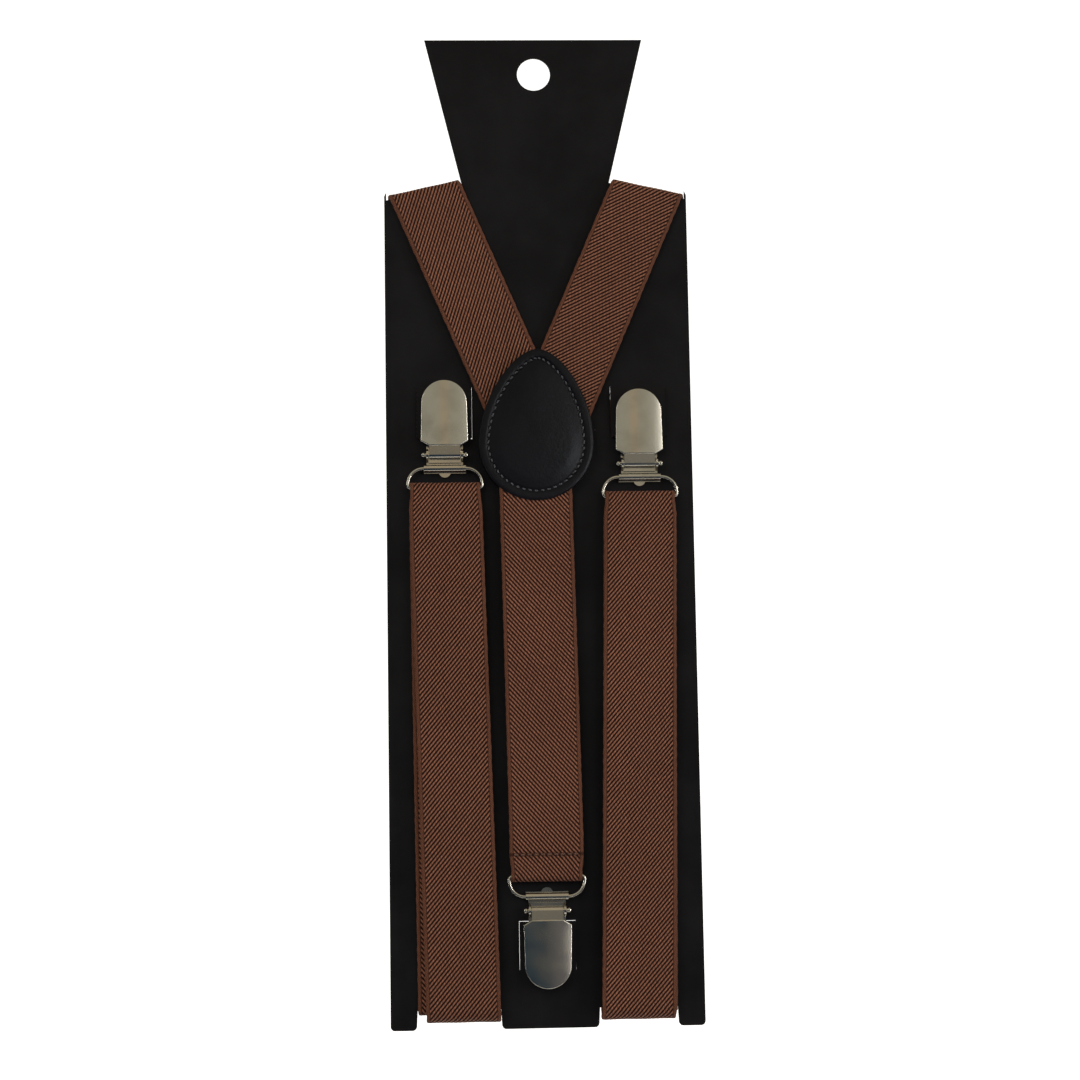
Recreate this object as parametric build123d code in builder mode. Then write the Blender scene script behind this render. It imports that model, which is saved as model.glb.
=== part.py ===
from build123d import *
from math import atan2, cos, sin, tan
import os

# Y-back suspenders threaded round a hanging display card.
# Frame: X to the right, +Z up, the card in the XZ plane with its front towards -Y.
# The origin is the centre of the peg hole at the card's mid-plane. Millimetres.
# Depths called "front" or "layer" are distances in front of that mid-plane, towards -Y.

# Webbing
WEB_WIDTH = 25.0
WEB_THICK = 1.2
LOOP_WIDTH = 24.0  # the webbing is gathered this narrow inside a wire loop
GATHER_START = 1.5
GATHER_LENGTH = 6.0

# Display card
CARD_THICK = 0.6
CARD_HALF = 53.0
CARD_BOTTOM = -330.7
CARD_CORNER = 1.5
HOLE_RADIUS = 5.85
NECK_TOP = 12.6
NECK_TOP_HALF = 38.45
NECK_ROOT_HALF = 25.9
SHOULDER_END = 52.3  # half the width across the shoulders, inside the corner tabs
CORNER_TAB_Z = -42.4
EDGE_ABOVE_FOLD = 0.9  # the card's shoulder edge, above the centreline of the strap's fold
NOTCH_TOP = -324.2
NOTCH_SLANT = 0.4
NOTCHES = ((-44.3, -15.5), (17.0, 44.1))
SLIT = 0.06
TAB_WIDTH = 19.0
TAB_RISE = 1.55  # how far a tab's mid-plane is bent forward of the card's
TAB_BEND = 3.3

# Straps: the two layers of a front strap, in front of the card
INNER_LAYER = 1.2
OUTER_LAYER = 3.7
DIAGONAL_LAYER = 1.9
JOINT_X = -0.1
JOINT_Z = -134.0
JOINT_END_Z = -141.0
SHOULDER_Z = -43.2  # height of the shoulder folds' centrelines, at the middle of each strap
FOLD_Z = -324.0  # height of the bottom folds' centrelines

# Where each front strap crosses the shoulder and the bottom notch, by side
SHOULDER_X = {-1: -38.8, 1: 39.2}
FOLD_X = {-1: -28.4, 1: 30.4}
INNER_FOLD_X = {-1: -31.2, 1: 31.1}  # the inner layer is pushed over against the notch's side

# Leather patch
PATCH_X = -1.2
PATCH_WIDE_Z = -132.4
PATCH_RADIUS = 19.8
PATCH_TOP_Z = -99.3
PATCH_SIDE_PULL = 0.5  # how straight the egg's sides run up from its widest line
PATCH_TOP_PULL = 0.4  # how full the egg's narrow end is
PATCH_BACK_DEPTH = 0.35
LEATHER = 0.85
PATCH_FACE = 4.6
PAD_INSET = 4.4
PAD_RISE = 0.8
PAD_CHAMFER = 0.6
RIM_FILLET = 0.5
STITCH_INSET = 3.3
STITCH_PITCH = 2.25
STITCH_LENGTH = 1.3
THREAD = 0.5
STITCH_MARGIN = 1.0

# Back strap
BACK_X = 0.0
BACK_TOP_Z = -121.0
BACK_TOP_LAYER = 3.2
HEM_STITCH_Z = -272.7
HEM_END_Z = -270.4
TAIL_BEND = 1.5
TAIL_RISE_AT = 1.0  # where the folded tail starts to rise from the bar's fold
TAIL_MEETS_AT = 1.2  # where the tail meets the strap, beyond the stitching

# Clips, measured from the tip of the lever towards the wire loop
SHEET = 0.6
LEVER_SHEET = 0.7
TIP_RADIUS = 7.9
LEVER_HALF = 8.2
LEVER_CREST = 4.9
LEVER_EDGE = 3.8
SKIRT_DEPTH = 2.75
NECK_LOW = 3.5
SHOULDER_FILLET = 0.7
EDGE_FILLET = 0.4
SHOULDER_AT = 21.2
NECK_AT = 22.9
NECK_HALF = 5.3
PIN_AT = 26.0
PIN_FRONT = 3.3
PIN_RADIUS = 0.65
PIN_CLEARANCE = 0.05
PIN_SEAT = 0.01
HEAD_RADIUS = 0.85
HEAD_AT = 7.3
CAM_RADIUS = 1.25
CAM_OFFSET = 0.25
EAR_INNER = 5.6
EAR_OUTER = 6.3
EAR_RADIUS = 1.6
EAR_FROM = 23.4
EAR_TO = 28.6
JAW_TIP = 9.6
JAW_HALF = 6.3
JAW_BACK = 0.6  # depth of the back jaw's rear face
FRONT_JAW_DEPTH = 1.9
HEEL_DEPTH = 1.25
HEEL_AT = 28.5
HEEL_RADIUS = 0.22
LEAF_SHEET = 0.45
LEAF_NARROW_HALF = 5.4
NARROW_FROM = 22.4
STEP_FROM = 22.7
STEP_TO = 24.0
BARREL_AT = 30.6
BARREL_HALF = 7.2
BARREL_OUTER = 1.25
WIRE_RADIUS = 0.6
WIRE_CLEARANCE = 0.05
WIRE_FRONT = 2.45
PLATE_END = 32.2
PLATE_TAB = 33.6
PLATE_TAB_HALF = 2.1
BAR_AT = 37.3
LOOP_HALF = 12.75
LOOP_TOP_RADIUS = 5.4
LOOP_CORNER_RADIUS = 1.0
TOOTH = 1.05
TOOTH_GAP = 0.9

# name, centre x, lever tip z, +1 where the loop is below the tip and -1 where above,
# then the hinge line and free end of the card tab that the clip grips
CLIPS = (
    ("left", -32.8, -110.0, 1, -111.9, -130.0),
    ("right", 34.4, -113.6, 1, -112.0, -129.9),
    ("back", 0.1, -317.4, -1, -311.4, -295.1),
)

# Adjusters
ADJUSTER_Z = -205.0
ADJUSTER_REACH = 20.0
BAR_RADIUS = 1.2
RAIL_RADIUS = 1.1
RAIL_OFFSET = 9.2
RAIL_DEPTH = 5.45  # behind the card
CHEEK_INNER = 13.1
CHEEK_OUTER = 15.7
CHEEK_LOW = 1.85
CHEEK_HIGH = 6.55
CHEEK_FILLET = 0.5
OVER_LAYER = 6.2  # depth of the webbing that passes over the adjuster's bar
OVER_START = 7.5
OVER_HALF = 1.8
OVER_END = 14.0
OVER_RADIUS = 1.5
END_STITCH_DROPS = (4.5, 7.0, 9.5)

CLEAR = 0.05
PAST = 1.0  # how far a cutting outline runs past what it cuts

os.makedirs("parts", exist_ok=True)


def save(piece, node):
    """Labels a finished piece and writes it as one node."""
    piece.part.label = node
    export_step(piece.part, f"parts/{node}.step")


def at_depth(front):
    """The XZ plane this far in front of the card's mid-plane, facing the viewer."""
    return Plane.XZ.offset(front)


def section_plane(x):
    """A plane across the object at x: its first axis is depth to the front, its second is Z."""
    return Plane(origin=(x, 0, 0), x_dir=(0, -1, 0), z_dir=(-1, 0, 0))


half_card = CARD_THICK / 2
half_web = WEB_THICK / 2
bar_turn = WIRE_RADIUS + CLEAR + half_web
end_turn = BAR_RADIUS + CLEAR + half_web


def diagonal_angle(side):
    """How far a front strap's diagonal leans outward from upright, in radians."""
    return atan2(side * (SHOULDER_X[side] - JOINT_X), SHOULDER_Z - JOINT_Z)


def back_angle(side):
    """How far a front strap's back run leans outward from upright."""
    return atan2(side * (SHOULDER_X[side] - FOLD_X[side]), SHOULDER_Z - FOLD_Z)


def shoulder_slope(side):
    """The slope of the shoulder edge that turns the back run exactly into the diagonal."""
    return (diagonal_angle(side) + back_angle(side)) / 2


def shoulder_z(side, x):
    """Height of the shoulder fold's centreline at x."""
    return SHOULDER_Z - side * (x - SHOULDER_X[side]) * tan(shoulder_slope(side))


def shoulder_corner(side, out):
    """(x, z) of the strap's edge on the fold's centreline: out is 1 outside and -1 inside."""
    slope = shoulder_slope(side)
    reach = out * WEB_WIDTH / 2 / cos(diagonal_angle(side) - slope)
    return (SHOULDER_X[side] + side * reach * cos(slope), SHOULDER_Z - reach * sin(slope))


# ---------------------------------------------------------------- display card
def tab_outline(x, hinge, free, grow):
    """Corners of a clip tab, grown by a margin but for its hinge line."""
    half = TAB_WIDTH / 2 + grow
    end = free + (grow if free > hinge else -grow)
    return [(x - half, hinge), (x + half, hinge), (x + half, end), (x - half, end)]


def card_shoulder(side):
    """One side of the card's outline, from the neck's root to the body's side."""
    end = side * SHOULDER_END
    return [
        (side * NECK_TOP_HALF, NECK_TOP),
        (side * NECK_ROOT_HALF, shoulder_z(side, side * NECK_ROOT_HALF) + EDGE_ABOVE_FOLD),
        (end, shoulder_z(side, end) + EDGE_ABOVE_FOLD),
        (end, CORNER_TAB_Z),
        (side * CARD_HALF, CORNER_TAB_Z - CARD_CORNER),
        (side * CARD_HALF, CARD_BOTTOM),
    ]


with BuildPart() as display_card:
    with BuildSketch(at_depth(-half_card)):
        with BuildLine():
            Polyline(*card_shoulder(1), *reversed(card_shoulder(-1)), close=True)
        make_face()
        Circle(HOLE_RADIUS, mode=Mode.SUBTRACT)
        for low_x, high_x in NOTCHES:
            with BuildLine():
                Polyline(
                    (low_x, CARD_BOTTOM - PAST),
                    (low_x + NOTCH_SLANT, NOTCH_TOP),
                    (high_x - NOTCH_SLANT, NOTCH_TOP),
                    (high_x, CARD_BOTTOM - PAST),
                    close=True,
                )
            make_face(mode=Mode.SUBTRACT)
        for _, x, _, _, hinge, free in CLIPS:
            with BuildLine():
                Polyline(*tab_outline(x, hinge, free, SLIT), close=True)
            make_face(mode=Mode.SUBTRACT)
    extrude(amount=CARD_THICK)
    across_card = edges().filter_by(Axis.Y)
    fillet(across_card.group_by(Axis.Z)[0], CARD_CORNER)
    for _, x, _, _, hinge, free in CLIPS:
        way = 1 if free > hinge else -1
        bend_end = hinge + way * TAB_BEND
        with BuildSketch(section_plane(x)):
            with BuildLine():
                Polyline(
                    (half_card, hinge - way * SLIT),
                    (half_card, hinge),
                    (TAB_RISE + half_card, bend_end),
                    (TAB_RISE + half_card, free),
                    (TAB_RISE - half_card, free),
                    (TAB_RISE - half_card, bend_end),
                    (-half_card, hinge),
                    (-half_card, hinge - way * SLIT),
                    close=True,
                )
            make_face()
        extrude(amount=TAB_WIDTH / 2, both=True)
save(display_card, "display_card")


# ---------------------------------------------------------------- front straps
def slab(corners, layer):
    """A flat run of webbing with these corners, at this depth."""
    with BuildSketch(at_depth(layer - half_web)) as outline:
        with BuildLine():
            Polyline(*corners, close=True)
        make_face()
    extrude(outline.sketch, amount=WEB_THICK)


def level_run(low, high, layer):
    """A straight run of webbing between two (x, z) points of its centreline, cut level."""
    half = WEB_WIDTH / 2
    (low_x, low_z), (high_x, high_z) = low, high
    bottom = [(low_x - half, low_z), (low_x + half, low_z)]
    top = [(high_x + half, high_z), (high_x - half, high_z)]
    slab(bottom + top, layer)


def gathered_run(x, bar, way, layer):
    """The stretch beside a loop's bar, where the webbing is gathered; returns where it is full."""
    narrow_end = bar + way * GATHER_START
    wide_z = narrow_end + way * GATHER_LENGTH
    narrow = LOOP_WIDTH / 2
    wide = WEB_WIDTH / 2
    left = [(x - narrow, bar), (x - narrow, narrow_end), (x - wide, wide_z)]
    right = [(x + wide, wide_z), (x + narrow, narrow_end), (x + narrow, bar)]
    slab(left + right, layer)
    return wide_z


def half_ring(plane, centre, middle_radius, width, way):
    """A fold of webbing round a level axis: way is 1 for its upper half and -1 for its lower."""
    reach = 2 * (middle_radius + WEB_THICK)
    edge = Align.MIN if way > 0 else Align.MAX
    with BuildSketch(plane) as section:
        with Locations(centre):
            Circle(middle_radius + half_web)
            Circle(middle_radius - half_web, mode=Mode.SUBTRACT)
            Rectangle(reach, reach, align=(Align.CENTER, edge), mode=Mode.INTERSECT)
    extrude(section.sketch, amount=width / 2, both=True)


def slide_x(side):
    """Where a front strap's back run passes the adjuster's height."""
    share = (ADJUSTER_Z - FOLD_Z) / (SHOULDER_Z - FOLD_Z)
    return FOLD_X[side] + share * (SHOULDER_X[side] - FOLD_X[side])


def diagonal_corners(side):
    """The diagonal: down from the shoulder to the back joint, trimmed where the two straps meet."""
    angle = diagonal_angle(side)
    inner_x, inner_z = shoulder_corner(side, -1)
    outer_x, outer_z = shoulder_corner(side, 1)
    trim_x = JOINT_X + side * CLEAR
    meet_z = inner_z - side * (inner_x - trim_x) / tan(angle)
    end_x = outer_x - side * (outer_z - JOINT_END_Z) * tan(angle)
    shoulder = [(inner_x, inner_z), (outer_x, outer_z)]
    return shoulder + [(end_x, JOINT_END_Z), (trim_x, JOINT_END_Z), (trim_x, meet_z)]


def front_strap(side, clip_x, bar):
    """One front strap, from its sewn end at the adjuster to its other end under the patch."""
    fold_x = {INNER_LAYER: INNER_FOLD_X[side], OUTER_LAYER: FOLD_X[side]}
    x = slide_x(side)
    low_z = ADJUSTER_Z - ADJUSTER_REACH
    high_z = ADJUSTER_Z + ADJUSTER_REACH
    half = WEB_WIDTH / 2
    with BuildPart() as strap:
        # round the wire loop's bar, down to the bottom folds and up the back
        half_ring(section_plane(clip_x), (WIRE_FRONT, bar), bar_turn, LOOP_WIDTH, 1)
        for layer, low_x in fold_x.items():
            wide_z = gathered_run(clip_x, bar, -1, layer)
            level_run((low_x, FOLD_Z), (clip_x, wide_z), layer)
            half_ring(section_plane(low_x), (0, FOLD_Z), layer, WEB_WIDTH, -1)
            level_run((low_x, FOLD_Z), (x, low_z), -layer)
        # the sewn end, looped round the adjuster's bar
        level_run((x, low_z), (x, ADJUSTER_Z), -INNER_LAYER)
        with BuildSketch(section_plane(x)):
            with Locations((-INNER_LAYER - end_turn, ADJUSTER_Z)):
                Circle(end_turn + half_web)
                Circle(end_turn - half_web, mode=Mode.SUBTRACT)
        extrude(amount=half, both=True)
        # the other run, over that loop and under the adjuster's two rails
        with BuildSketch(section_plane(x)):
            with BuildLine():
                over_bar = FilletPolyline(
                    (-OUTER_LAYER, low_z),
                    (-OUTER_LAYER, ADJUSTER_Z - OVER_START),
                    (-OVER_LAYER, ADJUSTER_Z - OVER_HALF),
                    (-OVER_LAYER, ADJUSTER_Z + OVER_HALF),
                    (-DIAGONAL_LAYER, ADJUSTER_Z + OVER_END),
                    (-DIAGONAL_LAYER, high_z),
                    radius=OVER_RADIUS,
                )
            trace(over_bar, WEB_THICK)
        extrude(amount=half, both=True)
        # up the back, over the shoulder and down the diagonal
        top = [shoulder_corner(side, 1), shoulder_corner(side, -1)]
        slab([(x - side * half, high_z), (x + side * half, high_z)] + top, -DIAGONAL_LAYER)
        slope = shoulder_slope(side)
        fold_plane = Plane(
            origin=(SHOULDER_X[side], 0, SHOULDER_Z),
            x_dir=(0, -1, 0),
            z_dir=(-cos(slope), 0, side * sin(slope)),
        )
        fold_width = WEB_WIDTH / cos(diagonal_angle(side) - slope)
        half_ring(fold_plane, (0, 0), DIAGONAL_LAYER, fold_width, 1)
        slab(diagonal_corners(side), DIAGONAL_LAYER)
    return strap


for side, (name, x, tip, way, _, _) in zip((-1, 1), CLIPS):
    save(front_strap(side, x, tip - way * BAR_AT), f"{name}_front_strap")


# ---------------------------------------------------------------- back strap
back_name, back_clip_x, back_tip, back_way, _, _ = CLIPS[2]
back_bar = back_tip - back_way * BAR_AT

with BuildPart() as back_strap:
    half_ring(section_plane(BACK_X), (WIRE_FRONT, back_bar), bar_turn, LOOP_WIDTH, -1)
    back_wide = gathered_run(BACK_X, back_bar, 1, OUTER_LAYER)
    with BuildSketch(section_plane(BACK_X)):
        with BuildLine():
            front_run = Line((OUTER_LAYER, back_wide), (BACK_TOP_LAYER, BACK_TOP_Z))
        trace(front_run, WEB_THICK)
    extrude(amount=WEB_WIDTH / 2, both=True)
    with BuildSketch(section_plane(BACK_X)):
        with BuildLine():
            tail = FilletPolyline(
                (INNER_LAYER, back_bar),
                (INNER_LAYER, back_bar + TAIL_RISE_AT),
                (OUTER_LAYER - WEB_THICK - CLEAR, HEM_STITCH_Z - TAIL_MEETS_AT),
                (OUTER_LAYER - WEB_THICK - CLEAR, HEM_END_Z),
                radius=TAIL_BEND,
            )
        trace(tail, WEB_THICK)
    extrude(amount=LOOP_WIDTH / 2, both=True)
save(back_strap, "back_strap")


# ---------------------------------------------------------------- leather patch
def patch_outline(inset):
    """The patch's egg: a half circle below its widest line and a narrower bow above it."""
    low = PATCH_WIDE_Z
    radius = PATCH_RADIUS - inset
    top_z = PATCH_TOP_Z - inset
    side_z = low + (top_z - low) * PATCH_SIDE_PULL
    left = (PATCH_X - radius, low)
    right = (PATCH_X + radius, low)
    with BuildLine() as egg:
        ThreePointArc(left, (PATCH_X, low - radius), right)
        for x, _ in (left, right):
            pull_x = PATCH_X + (x - PATCH_X) * PATCH_TOP_PULL
            Bezier((x, low), (x, side_z), (pull_x, top_z), (PATCH_X, top_z))
    make_face(egg.line)


with BuildPart() as patch_back:
    with BuildSketch(at_depth(PATCH_BACK_DEPTH)):
        patch_outline(0)
    extrude(amount=LEATHER)
save(patch_back, "patch_back")

patch_floor = PATCH_BACK_DEPTH + LEATHER + CLEAR
with BuildPart() as patch_front:
    with BuildSketch(at_depth(patch_floor)):
        patch_outline(0)
    extrude(amount=PATCH_FACE - patch_floor)
    rim = faces().sort_by(Axis.Y)[0].edges()
    fillet(rim, RIM_FILLET)
    with BuildSketch(at_depth(PATCH_FACE)):
        patch_outline(PAD_INSET)
    extrude(amount=PAD_RISE)
    chamfer(faces().sort_by(Axis.Y)[0].edges(), PAD_CHAMFER)
    for side in (-1, 1):
        with BuildSketch(at_depth(DIAGONAL_LAYER - half_web - CLEAR)):
            with BuildLine():
                Polyline(*diagonal_corners(side), close=True)
            make_face()
        extrude(amount=WEB_THICK + 2 * CLEAR, mode=Mode.SUBTRACT)
    with BuildSketch(section_plane(BACK_X)):
        with BuildLine():
            under_patch = Line((OUTER_LAYER, back_wide), (BACK_TOP_LAYER, BACK_TOP_Z + CLEAR))
        trace(under_patch, WEB_THICK + 2 * CLEAR)
    extrude(amount=WEB_WIDTH / 2 + CLEAR, both=True, mode=Mode.SUBTRACT)
save(patch_front, "patch_front")

with BuildPart() as patch_stitching:
    with BuildSketch(at_depth(PATCH_FACE + THREAD / 2 + CLEAR), mode=Mode.PRIVATE) as stitch_face:
        patch_outline(STITCH_INSET)
    ring = stitch_face.sketch.face().outer_wire()
    count = round(ring.length / STITCH_PITCH)
    with Locations([ring.location_at(step / count) for step in range(count)]):
        Cylinder(THREAD / 2, STITCH_LENGTH)
save(patch_stitching, "patch_stitching")


# ---------------------------------------------------------------- straps' stitching
def stitch_row(x, z, depth):
    """A level row of stitches across the webbing, lying on its face at this depth."""
    count = int((WEB_WIDTH - 2 * STITCH_MARGIN) / STITCH_PITCH)
    for step in range(count):
        centre = x + (step - (count - 1) / 2) * STITCH_PITCH
        with Locations(Location((centre, -depth, z), (0, 90, 0))):
            Cylinder(THREAD / 2, STITCH_LENGTH)


with BuildPart() as back_strap_stitching:
    stitch_row(BACK_X, HEM_STITCH_Z, OUTER_LAYER + half_web + THREAD / 2 + CLEAR)
save(back_strap_stitching, "back_strap_stitching")

for side, name in ((-1, "left"), (1, "right")):
    with BuildPart() as end_stitching:
        for drop in END_STITCH_DROPS:
            stitch_row(slide_x(side), ADJUSTER_Z - drop, -INNER_LAYER - half_web - THREAD / 2 - CLEAR)
    save(end_stitching, f"{name}_strap_end_stitching")


# ---------------------------------------------------------------- adjusters
for side, name in ((-1, "left"), (1, "right")):
    x = slide_x(side)
    with BuildPart() as adjuster:
        with BuildSketch(section_plane(x)):
            with Locations((-INNER_LAYER - end_turn, ADJUSTER_Z)):
                Circle(BAR_RADIUS)
            for above in (-RAIL_OFFSET, RAIL_OFFSET):
                with Locations((-RAIL_DEPTH, ADJUSTER_Z + above)):
                    Circle(RAIL_RADIUS)
        extrude(amount=CHEEK_INNER + CLEAR, both=True)
        cheek_height = 2 * (RAIL_OFFSET + RAIL_RADIUS)
        for out in (-1, 1):
            with BuildSketch(section_plane(x + out * (CHEEK_INNER + CHEEK_OUTER) / 2)):
                with Locations((-(CHEEK_LOW + CHEEK_HIGH) / 2, ADJUSTER_Z)):
                    RectangleRounded(CHEEK_HIGH - CHEEK_LOW, cheek_height, RAIL_RADIUS)
            extrude(amount=(CHEEK_OUTER - CHEEK_INNER) / 2, both=True)
        ends = adjuster.faces().filter_by(Axis.X).sort_by(Axis.X)
        fillet(ends[0].edges() + ends[-1].edges(), CHEEK_FILLET)
    save(adjuster, f"{name}_adjuster")


# ---------------------------------------------------------------- clips
def clip_side(x, tip, way):
    """A plane along a clip: its axes are distance from the lever's tip, and depth to the front."""
    return Plane(origin=(x, 0, tip), x_dir=(0, 0, -way), z_dir=(-way, 0, 0))


def clip_face(x, tip, way, depth):
    """A plane parallel to the card: its axes are distance from the lever's tip, and across."""
    return Plane(origin=(x, -depth, tip), x_dir=(0, 0, -way), z_dir=(0, -1, 0))


def teeth(face, half):
    """Cuts a row of teeth into a jaw's tip."""
    with BuildSketch(face) as gaps:
        for step in range(int(2 * half / TOOTH)):
            across = -half + (step + 0.5) * TOOTH
            with BuildLine():
                Polyline(
                    (JAW_TIP - CLEAR, across - TOOTH_GAP / 2),
                    (JAW_TIP + TOOTH, across),
                    (JAW_TIP - CLEAR, across + TOOTH_GAP / 2),
                    close=True,
                )
            make_face()
    extrude(gaps.sketch, amount=2 * SHEET, both=True, mode=Mode.SUBTRACT)


def make_back_jaw(x, tip, way):
    """The base: a toothed plate with two ears for the pin and a barrel rolled round the wire."""
    plane = clip_side(x, tip, way)
    face = clip_face(x, tip, way, JAW_BACK)
    jaw_front = JAW_BACK + SHEET
    with BuildPart() as jaw:
        with BuildSketch(face):
            with BuildLine():
                Polyline(
                    (JAW_TIP, -JAW_HALF),
                    (BARREL_AT - BARREL_OUTER, -JAW_HALF),
                    (BARREL_AT - WIRE_RADIUS, -BARREL_HALF),
                    (PLATE_END, -BARREL_HALF),
                    (PLATE_END, BARREL_HALF),
                    (BARREL_AT - WIRE_RADIUS, BARREL_HALF),
                    (BARREL_AT - BARREL_OUTER, JAW_HALF),
                    (JAW_TIP, JAW_HALF),
                    close=True,
                )
            make_face()
            with Locations((PLATE_TAB - PLATE_TAB_HALF, 0)):
                Circle(PLATE_TAB_HALF)
        extrude(amount=SHEET)
        with BuildSketch(plane):
            with Locations((BARREL_AT, WIRE_FRONT)):
                Circle(BARREL_OUTER)
            with Locations((BARREL_AT, (jaw_front + WIRE_FRONT) / 2)):
                Rectangle(2 * BARREL_OUTER - SHEET, WIRE_FRONT - jaw_front)
            with Locations((BARREL_AT, WIRE_FRONT)):
                Circle(WIRE_RADIUS + WIRE_CLEARANCE, mode=Mode.SUBTRACT)
        extrude(amount=BARREL_HALF, both=True)
        for out in (-1, 1):
            with BuildSketch(plane.offset(out * (EAR_INNER + EAR_OUTER) / 2)):
                with BuildLine():
                    Polyline(
                        (EAR_FROM, JAW_BACK),
                        (EAR_TO, JAW_BACK),
                        (PIN_AT + EAR_RADIUS, PIN_FRONT),
                        (PIN_AT - EAR_RADIUS, PIN_FRONT),
                        close=True,
                    )
                make_face()
                with Locations((PIN_AT, PIN_FRONT)):
                    Circle(EAR_RADIUS)
                    Circle(PIN_RADIUS + PIN_SEAT, mode=Mode.SUBTRACT)
            extrude(amount=(EAR_OUTER - EAR_INNER) / 2, both=True)
        teeth(clip_face(x, tip, way, JAW_BACK + SHEET / 2), JAW_HALF)
    return jaw


def make_front_jaw(x, tip, way):
    """The toothed leaf under the lever, stepped down to a heel that it rocks on."""
    heel_top = HEEL_DEPTH + 2 * HEEL_RADIUS
    leaf_top = FRONT_JAW_DEPTH + LEAF_SHEET
    with BuildPart() as jaw:
        with BuildSketch(clip_side(x, tip, way)):
            with BuildLine():
                Polyline(
                    (JAW_TIP, FRONT_JAW_DEPTH),
                    (STEP_FROM, FRONT_JAW_DEPTH),
                    (STEP_TO, HEEL_DEPTH),
                    (HEEL_AT, HEEL_DEPTH),
                    (HEEL_AT, heel_top),
                    (STEP_TO + LEAF_SHEET / 2, heel_top),
                    (STEP_FROM + LEAF_SHEET / 2, leaf_top),
                    (JAW_TIP, leaf_top),
                    close=True,
                )
            make_face()
            with Locations((HEEL_AT, HEEL_DEPTH + HEEL_RADIUS)):
                Circle(HEEL_RADIUS)
        extrude(amount=JAW_HALF, both=True)
        with BuildSketch(clip_face(x, tip, way, 0)):
            for out in (-1, 1):
                with Locations((NARROW_FROM, out * LEAF_NARROW_HALF)):
                    edge = Align.MIN if out > 0 else Align.MAX
                    Rectangle(JAW_HALF, JAW_HALF, align=(Align.MIN, edge))
        extrude(amount=JAW_HALF, mode=Mode.SUBTRACT)
        teeth(clip_face(x, tip, way, FRONT_JAW_DEPTH + LEAF_SHEET / 2), JAW_HALF)
    return jaw


def lever_outline(inset):
    """The lever's leaf seen from the front: round tip, sides that flare a little, cut shoulders."""
    tip_radius = TIP_RADIUS - inset
    half = LEVER_HALF - inset
    neck = NECK_HALF - inset
    with BuildLine() as leaf:
        ThreePointArc((TIP_RADIUS, tip_radius), (inset, 0), (TIP_RADIUS, -tip_radius))
        Polyline(
            (TIP_RADIUS, -tip_radius),
            (SHOULDER_AT - inset / 2, -half),
            (NECK_AT - inset / 2, -neck),
            (NECK_AT - inset / 2, neck),
            (SHOULDER_AT - inset / 2, half),
            (TIP_RADIUS, tip_radius),
        )
    make_face(leaf.line)


def crown(x, tip, way, drop):
    """Trims the lever to its crowned front, lowered by drop."""
    along = Plane(origin=(x, 0, tip), x_dir=(way, 0, 0), z_dir=(0, 0, -way))
    reach = LEVER_HALF + PAST
    edge = LEVER_EDGE - drop
    with BuildSketch(along) as below_crown:
        with BuildLine():
            ThreePointArc((-reach, edge), (0, LEVER_CREST - drop), (reach, edge))
            Polyline((reach, edge), (reach, 0), (-reach, 0), (-reach, edge))
        make_face()
    extrude(below_crown.sketch, amount=PIN_AT, mode=Mode.INTERSECT)


def make_lever(x, tip, way):
    """The lever: a crowned leaf with turned-down edges, and a cam bored for the pin."""
    skirt = clip_face(x, tip, way, SKIRT_DEPTH)
    with BuildPart(mode=Mode.PRIVATE) as hollow:
        with BuildSketch(skirt):
            lever_outline(LEVER_SHEET)
        extrude(amount=LEVER_CREST)
        crown(x, tip, way, LEVER_SHEET)
    with BuildPart() as lever:
        with BuildSketch(skirt):
            lever_outline(0)
        extrude(amount=LEVER_CREST)
        corner_edges = lever.edges().filter_by(Axis.Y)
        fillet(corner_edges.group_by(Axis.Z)[0 if way > 0 else -1], SHOULDER_FILLET)
        crown(x, tip, way, 0)
        top = lever.faces().sort_by(Axis.Y)[0]
        fillet(top.edges(), EDGE_FILLET)
        add(hollow.part, mode=Mode.SUBTRACT)
        with BuildSketch(clip_side(x, tip, way)):
            with BuildLine():
                Polyline(
                    (NECK_AT - PAST, NECK_LOW),
                    (PIN_AT, NECK_LOW),
                    (PIN_AT, PIN_FRONT - CAM_OFFSET + CAM_RADIUS),
                    (NECK_AT - PAST, LEVER_CREST - EDGE_FILLET),
                    close=True,
                )
            make_face()
            with Locations((PIN_AT, PIN_FRONT - CAM_OFFSET)):
                Circle(CAM_RADIUS)
            with Locations((PIN_AT, PIN_FRONT)):
                Circle(PIN_RADIUS + PIN_CLEARANCE, mode=Mode.SUBTRACT)
        extrude(amount=NECK_HALF, both=True)
    return lever


def make_pin(x, tip, way):
    """The pivot pin, with a round head at each end."""
    with BuildPart() as pin:
        with BuildSketch(clip_side(x, tip, way)):
            with Locations((PIN_AT, PIN_FRONT)):
                Circle(PIN_RADIUS)
        extrude(amount=HEAD_AT, both=True)
        for out in (-1, 1):
            with Locations((x + out * HEAD_AT, -PIN_FRONT, tip - way * PIN_AT)):
                Sphere(HEAD_RADIUS)
    return pin


def make_wire_loop(x, tip, way):
    """The wire loop that holds the webbing, closed inside the clip's barrel."""
    with BuildPart() as loop:
        with BuildLine(clip_face(x, tip, way, WIRE_FRONT)):
            wire_path = FilletPolyline(
                (BARREL_AT, 0),
                (BARREL_AT, LOOP_HALF),
                (BAR_AT, LOOP_HALF),
                (BAR_AT, 0),
                radius=(LOOP_TOP_RADIUS, LOOP_CORNER_RADIUS),
            )
        with BuildSketch(Plane(wire_path @ 0, z_dir=wire_path % 0)):
            Circle(WIRE_RADIUS)
        sweep(path=wire_path)
        mirror(about=Plane.YZ.offset(x))
    return loop


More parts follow.
